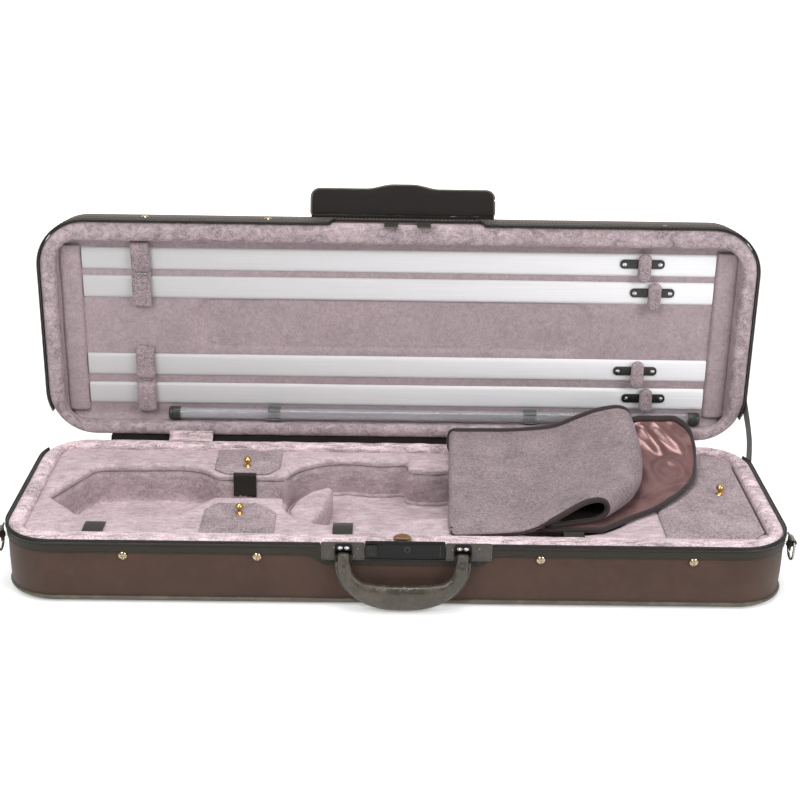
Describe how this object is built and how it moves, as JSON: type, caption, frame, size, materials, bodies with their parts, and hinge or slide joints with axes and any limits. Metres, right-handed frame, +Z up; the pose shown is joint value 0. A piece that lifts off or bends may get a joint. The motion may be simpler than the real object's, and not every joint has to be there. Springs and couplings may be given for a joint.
{
  "type": "violin case",
  "caption": "Oblong violin case standing open: padded base with fitted cavity and accessory boxes, hinged lid with bow holders, lock, handle and folded blanket.",
  "frame": {"origin": "centre of the base's flat underside", "axes": "+X along the case's length, to the right as seen from the lock side; +Y to the back, where the hinges are; +Z up"},
  "size_m": [0.8152, 0.319, 0.3648],
  "materials": {
    "cover_cloth": "brown woven nylon over padded shell",
    "plush": "mauve-grey short plush",
    "blanket_satin": "plush-topped quilt with satin underside",
    "black_tape": "woven black tape",
    "guard_ribbon": "white satin ribbon",
    "handle_leather": "dark grained leather",
    "tab_leather": "brown leather",
    "facing_vinyl": "grained vinyl",
    "lock_metal": "black enamel",
    "steel": "plated steel",
    "brass": "polished",
    "clear_plastic": "clear tube",
    "black_rubber": "soft black",
    "black_plastic": "black"
  },
  "bodies": {
    "base": {"base_shell": "cover_cloth", "base_lining": "plush", "base_rim_roll": "plush", "base_zipper_tape": "black_tape", "suspension_pad": "plush", "neck_strap": "black_tape", "lock_body": "lock_metal", "lock_facing": "facing_vinyl", "thumb_tab": "tab_leather", "rear_cover_strip": "cover_cloth", "zipper_tail": "black_tape", "ring_tab_left": "handle_leather", "ring_tab_right": "handle_leather", "handle_bracket_left": "lock_metal", "handle_bracket_right": "lock_metal", "hinge_leaf_base_left": "steel", "hinge_leaf_base_right": "steel", "hinge_pin_left": "steel", "hinge_pin_right": "steel"},
    "lid": {"lid_shell": "cover_cloth", "lid_lining": "plush", "lid_rim_roll": "plush", "lid_zipper_tape": "black_tape", "end_band_left": "plush", "end_band_right": "plush", "tip_strap_upper": "plush", "tip_strap_lower": "plush", "string_tube": "clear_plastic", "tube_cap_left": "black_rubber", "tube_cap_right": "black_rubber", "tube_clip_left": "black_plastic", "tube_clip_right": "black_plastic", "lock_hasp": "steel", "hinge_leaf_lid_left": "steel", "hinge_leaf_lid_right": "steel", "bow_guard_1": "guard_ribbon", "bow_guard_2": "guard_ribbon", "bow_guard_3": "guard_ribbon", "bow_guard_4": "guard_ribbon", "turn_plate_1": "black_plastic", "turn_plate_2": "black_plastic", "turn_plate_3": "black_plastic", "turn_plate_4": "black_plastic"},
    "blanket": {"blanket": "blanket_satin"},
    "handle": {"handle": "handle_leather"},
    "lock_slide": {"lock_slide": "lock_metal"},
    "accessory_lid_rear": {"accessory_lid_rear": "plush", "knob_rear": "brass"},
    "accessory_lid_front": {"accessory_lid_front": "plush", "knob_front": "brass"},
    "accessory_lid_right": {"accessory_lid_right": "plush", "knob_right": "brass"},
    "carrying_ring_left": {"carrying_ring_left": "steel"},
    "carrying_ring_right": {"carrying_ring_right": "steel"},
    "lid_flap": {"lid_flap": "cover_cloth"},
    "turn_button_1": {"turn_button_1": "plush"},
    "turn_button_2": {"turn_button_2": "plush"},
    "turn_button_3": {"turn_button_3": "plush"},
    "turn_button_4": {"turn_button_4": "plush"}
  },
  "joints": [
    {"name": "lid_hinge", "type": "hinge", "parent": "base", "child": "lid", "pos_m": [0, 0.128, 0.072], "axis": [1, 0, 0], "range_deg": [0, 90], "deforming": ["blanket", "rear_cover_strip", "zipper_tail"]},
    {"name": "handle_swing", "type": "hinge", "parent": "base", "child": "handle", "pos_m": [0, -0.136, 0.059], "axis": [1, 0, 0], "range_deg": [-100, 0]},
    {"name": "lock_slide_travel", "type": "slide", "parent": "base", "child": "lock_slide", "axis": [1, 0, 0], "range_m": [0, 0.006], "stiffness_N_per_m": 150},
    {"name": "accessory_rear_hinge", "type": "hinge", "parent": "base", "child": "accessory_lid_rear", "pos_m": [0, 0.1093, 0.0666], "axis": [1, 0, 0], "range_deg": [-95, 0]},
    {"name": "accessory_front_hinge", "type": "hinge", "parent": "base", "child": "accessory_lid_front", "pos_m": [0, -0.1028, 0.0666], "axis": [-1, 0, 0], "range_deg": [-90, 0]},
    {"name": "accessory_right_hinge", "type": "hinge", "parent": "base", "child": "accessory_lid_right", "pos_m": [0.2737, 0, 0.0666], "axis": [0, 1, 0], "range_deg": [-90, 0]},
    {"name": "blanket_lift", "type": "hinge", "parent": "base", "child": "blanket", "pos_m": [0.054, 0, 0.067], "axis": [0, 1, 0], "range_deg": [-27, 0]},
    {"name": "ring_left_swing", "type": "hinge", "parent": "base", "child": "carrying_ring_left", "pos_m": [-0.404, -0.093, 0.062], "axis": [0, -1, 0], "range_deg": [-90, 0]},
    {"name": "ring_right_swing", "type": "hinge", "parent": "base", "child": "carrying_ring_right", "pos_m": [0.404, -0.093, 0.062], "axis": [0, 1, 0], "range_deg": [-90, 0]},
    {"name": "flap_fold", "type": "hinge", "parent": "lid", "child": "lid_flap", "pos_m": [0, 0.152, 0.3318], "axis": [1, 0, 0], "range_deg": [0, 104]},
    {"name": "turn_button_1_turn", "type": "hinge", "parent": "lid", "child": "turn_button_1", "pos_m": [0.2715, 0.1412, 0.282], "axis": [0, 1, 0], "range_deg": [0, 90]},
    {"name": "turn_button_2_turn", "type": "hinge", "parent": "lid", "child": "turn_button_2", "pos_m": [0.285, 0.1412, 0.2485], "axis": [0, 1, 0], "range_deg": [0, 90]},
    {"name": "turn_button_3_turn", "type": "hinge", "parent": "lid", "child": "turn_button_3", "pos_m": [0.2725, 0.1412, 0.1545], "axis": [0, 1, 0], "range_deg": [0, 90]},
    {"name": "turn_button_4_turn", "type": "hinge", "parent": "lid", "child": "turn_button_4", "pos_m": [0.2845, 0.1412, 0.121], "axis": [0, 1, 0], "range_deg": [0, 90]}
  ],
  "couplings": [
    {"joint": "blanket_lift", "follows": "accessory_right_hinge", "ratio": 0.3}
  ]
}
